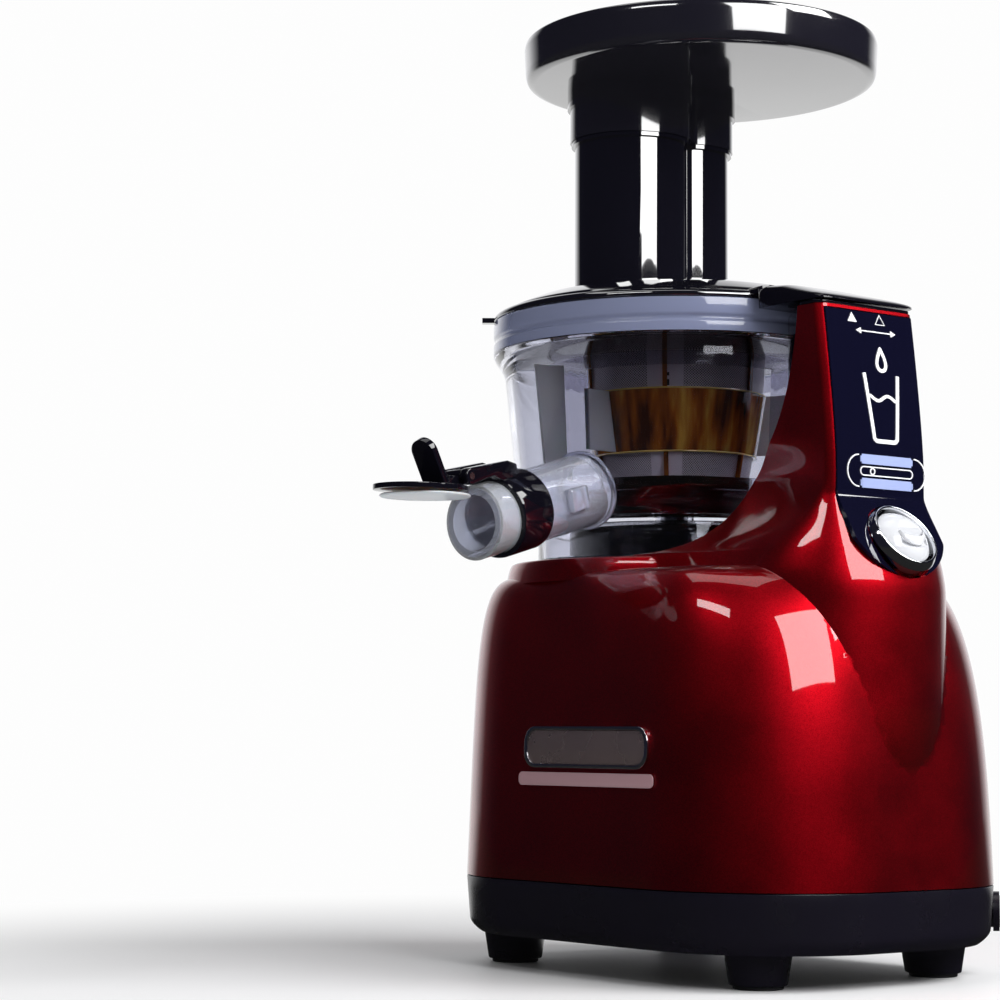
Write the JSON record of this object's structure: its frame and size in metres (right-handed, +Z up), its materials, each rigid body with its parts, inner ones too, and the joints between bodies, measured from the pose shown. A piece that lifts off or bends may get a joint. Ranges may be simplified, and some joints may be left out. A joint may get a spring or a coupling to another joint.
{
  "type": "cold_press_juicer",
  "caption": "Upright cold press juicer with a red body, a clear bowl with a spout, an auger, a feed chute, a round tray and a rocker switch",
  "frame": {"origin": "on the table, midway between the four feet, at the standing plane", "axes": "+Z up; +X from the bowl towards the column with the control panel; the juice spout and the badge are on the -Y side"},
  "size_m": [0.2285, 0.2902, 0.4],
  "materials": {
    "red_paint": "high gloss metallic red lacquer",
    "black_gloss": "glossy black moulding",
    "black_satin": "satin black moulding",
    "panel_gloss": "piano black panel with pale printing",
    "white_gloss": "glossy white moulding",
    "bright_chrome": "polished plating",
    "silver_plate": "blank satin silver plate",
    "pale_print": "blank pale strip",
    "soft_rubber": "matt rubber",
    "zinc_steel": "bright turned steel",
    "motor_steel": "dark painted pressing",
    "core_steel": "stacked laminations",
    "copper_wire": "enamelled copper windings",
    "cast_alloy": "die-cast alloy",
    "bronze_bush": "sintered bronze",
    "gear_plastic": "natural acetal",
    "board_green": "circuit board with its parts",
    "smoky_clear": "smoky clear moulding",
    "milky_silicone": "milky translucent silicone",
    "sieve_steel": "finely perforated sheet",
    "amber_clear": "amber clear moulding"
  },
  "bodies": {
    "base": {"housing": "red_paint", "base_pan": "black_gloss", "feet": "black_satin", "foot_pads": "soft_rubber", "foot_screws": "zinc_steel", "pan_screws": "zinc_steel", "cord_gland": "black_satin", "column_cap": "black_gloss", "column_liner": "black_gloss", "control_panel": "panel_gloss", "switch_bezel": "bright_chrome", "switch_body": "black_satin", "rocker_pin": "zinc_steel", "badge_frame": "bright_chrome", "badge_plate": "silver_plate", "badge_strip": "pale_print", "bowl_seat": "black_gloss", "shaft_seal": "soft_rubber", "motor_can": "motor_steel", "motor_bracket": "motor_steel", "stator": "core_steel", "windings": "copper_wire", "gearbox_case": "cast_alloy", "gearbox_cover": "cast_alloy", "gearbox_posts": "zinc_steel", "bearings": "bronze_bush", "control_board": "board_green", "board_posts": "black_satin"},
    "drive": {"output_gear": "gear_plastic", "drive_shaft": "zinc_steel"},
    "lay": {"layshaft": "zinc_steel", "first_gear": "gear_plastic", "second_pinion": "zinc_steel"},
    "motor": {"rotor": "core_steel", "cooling_fan": "black_satin", "motor_pinion": "zinc_steel"},
    "rocker": {"rocker": "white_gloss"},
    "bowl": {"bowl": "smoky_clear", "spout_collar": "black_gloss", "cap_pin": "zinc_steel", "pulp_gasket": "milky_silicone", "strainer_mesh": "sieve_steel", "strainer_frame": "amber_clear"},
    "cap": {"cap_lever": "black_gloss", "cap_plug": "milky_silicone"},
    "wiper": {"wiper_frame": "black_satin", "wiper_blades": "milky_silicone", "ring_gear": "black_satin"},
    "idler": {"idler_gear": "white_gloss"},
    "auger": {"auger": "black_gloss", "auger_flights": "black_gloss", "auger_tip": "zinc_steel"},
    "lid": {"lid": "black_gloss", "lid_tail": "black_gloss", "lid_seal": "milky_silicone", "tip_bush": "white_gloss"},
    "tray": {"hopper_tray": "black_gloss"}
  },
  "joints": [
    {"name": "drive_spin", "type": "hinge", "parent": "base", "child": "drive", "pos_m": [-0.028, 0, 0.13], "axis": [0, 0, 1], "continuous": true},
    {"name": "lay_spin", "type": "hinge", "parent": "base", "child": "lay", "pos_m": [0.01401, 0.02892, 0.12], "axis": [0, 0, 1], "continuous": true},
    {"name": "motor_spin", "type": "hinge", "parent": "base", "child": "motor", "pos_m": [0.04447, 0, 0.08], "axis": [0, 0, 1], "continuous": true},
    {"name": "rocker_tilt", "type": "hinge", "parent": "base", "child": "rocker", "pos_m": [0.10096, 0, 0.17068], "axis": [0, 1, 0], "range_deg": [-6, 6]},
    {"name": "bowl_lift", "type": "slide", "parent": "base", "child": "bowl", "axis": [0, 0, 1], "range_m": [0, 0.06]},
    {"name": "cap_swing", "type": "hinge", "parent": "bowl", "child": "cap", "pos_m": [0.00207, -0.14147, 0.19949], "axis": [0.9781, 0.2079, 0], "range_deg": [0, 92]},
    {"name": "wiper_spin", "type": "hinge", "parent": "bowl", "child": "wiper", "pos_m": [-0.028, 0, 0.2], "axis": [0, 0, 1], "continuous": true},
    {"name": "idler_spin", "type": "hinge", "parent": "bowl", "child": "idler", "pos_m": [-0.028, 0.024, 0.195], "axis": [0, 0, 1], "continuous": true},
    {"name": "auger_spin", "type": "hinge", "parent": "bowl", "child": "auger", "pos_m": [-0.028, 0, 0.2], "axis": [0, 0, 1], "continuous": true},
    {"name": "lid_twist", "type": "hinge", "parent": "bowl", "child": "lid", "pos_m": [-0.028, 0, 0.28], "axis": [0, 0, 1], "range_deg": [0, 30]},
    {"name": "tray_lift", "type": "slide", "parent": "lid", "child": "tray", "axis": [0, 0, 1], "range_m": [0, 0.03]}
  ],
  "couplings": [
    {"joint": "lay_spin", "follows": "drive_spin", "ratio": -4.1},
    {"joint": "motor_spin", "follows": "drive_spin", "ratio": 18.86},
    {"joint": "auger_spin", "follows": "drive_spin", "ratio": 1},
    {"joint": "idler_spin", "follows": "drive_spin", "ratio": -1.6667},
    {"joint": "wiper_spin", "follows": "drive_spin", "ratio": -0.45455}
  ]
}
